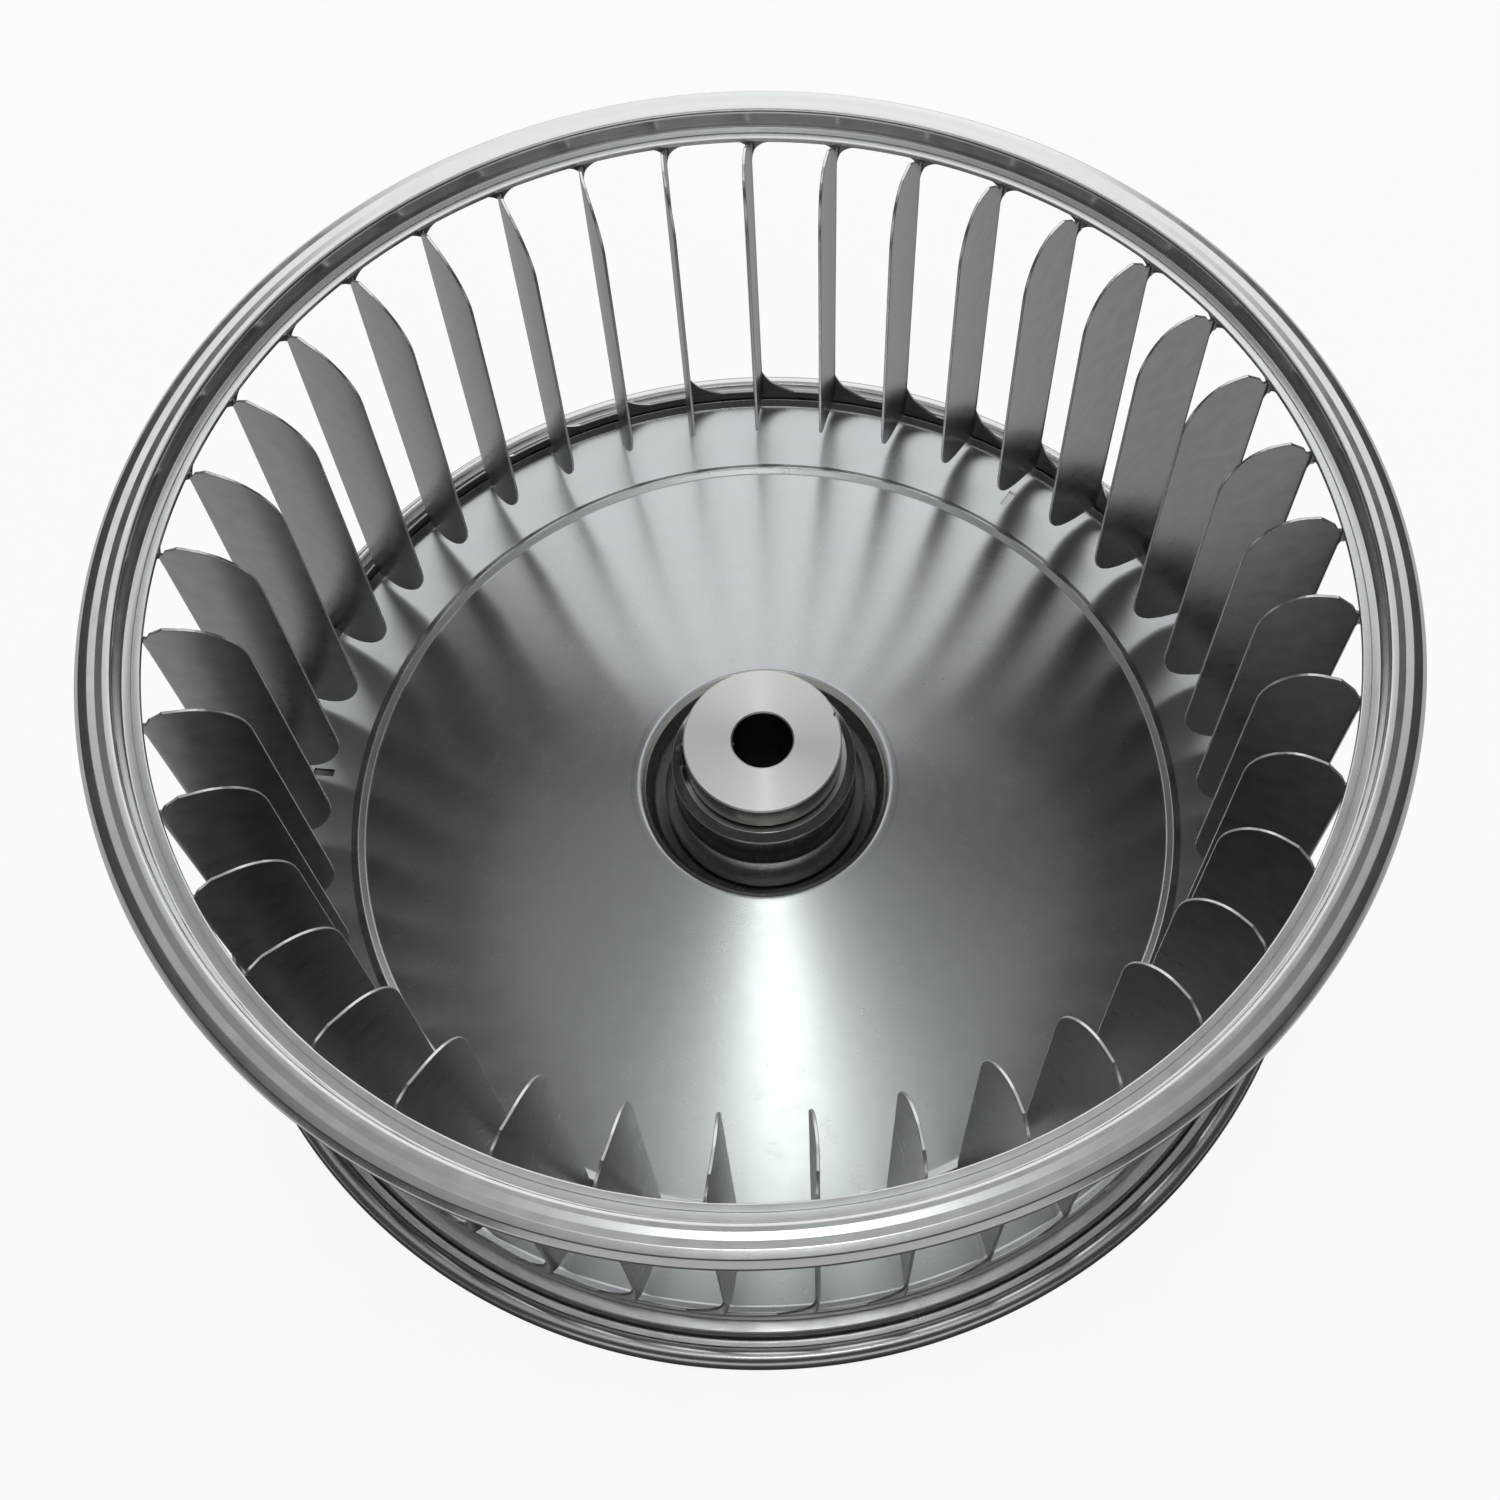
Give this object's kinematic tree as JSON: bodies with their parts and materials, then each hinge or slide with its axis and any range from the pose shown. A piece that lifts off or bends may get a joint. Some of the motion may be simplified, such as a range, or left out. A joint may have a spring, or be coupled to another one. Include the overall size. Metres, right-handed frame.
{
  "type": "blower motor wheel",
  "caption": "Single-inlet forward-curved centrifugal blower wheel in bright sheet steel, with a dished back plate and a turned hub held on its shaft by a set screw.",
  "frame": {"origin": "on the wheel's axis, in the plane that the rear ring stands on", "axes": "+Z along the wheel's axis from the back plate to the inlet; +X to the right with the set screw at the left; blades are numbered anticlockwise from +X, seen from the inlet"},
  "size_m": [0.2414, 0.2414, 0.1016],
  "materials": {
    "ring_steel": "bright zinc-coated sheet, rolled, satin",
    "strip_steel": "zinc-coated strip, lanced and bent, satin",
    "plate_steel": "bright zinc-coated sheet, drawn, near mirror",
    "hub_steel": "turned, with concentric tool marks",
    "screw_steel": "blackened, oiled"
  },
  "bodies": {
    "wheel": {"inlet_end_ring": "ring_steel", "rear_end_ring": "ring_steel", "inlet_strip_band": "strip_steel", "rear_strip_band": "strip_steel", "blade_01": "strip_steel", "blade_02": "strip_steel", "blade_03": "strip_steel", "blade_04": "strip_steel", "blade_05": "strip_steel", "blade_06": "strip_steel", "blade_07": "strip_steel", "blade_08": "strip_steel", "blade_09": "strip_steel", "blade_10": "strip_steel", "blade_11": "strip_steel", "blade_12": "strip_steel", "blade_13": "strip_steel", "blade_14": "strip_steel", "blade_15": "strip_steel", "blade_16": "strip_steel", "blade_17": "strip_steel", "blade_18": "strip_steel", "blade_19": "strip_steel", "blade_20": "strip_steel", "blade_21": "strip_steel", "blade_22": "strip_steel", "blade_23": "strip_steel", "blade_24": "strip_steel", "blade_25": "strip_steel", "blade_26": "strip_steel", "blade_27": "strip_steel", "blade_28": "strip_steel", "blade_29": "strip_steel", "blade_30": "strip_steel", "blade_31": "strip_steel", "blade_32": "strip_steel", "blade_33": "strip_steel", "blade_34": "strip_steel", "blade_35": "strip_steel", "blade_36": "strip_steel", "blade_37": "strip_steel", "blade_38": "strip_steel", "blade_39": "strip_steel", "back_plate": "plate_steel", "hub": "hub_steel"},
    "set_screw": {"set_screw": "screw_steel"}
  },
  "joints": [
    {"name": "set_screw_travel", "type": "slide", "parent": "wheel", "child": "set_screw", "axis": [-0.9994, -0.0349, 0], "range_m": [-0.0013, 0.006]}
  ]
}
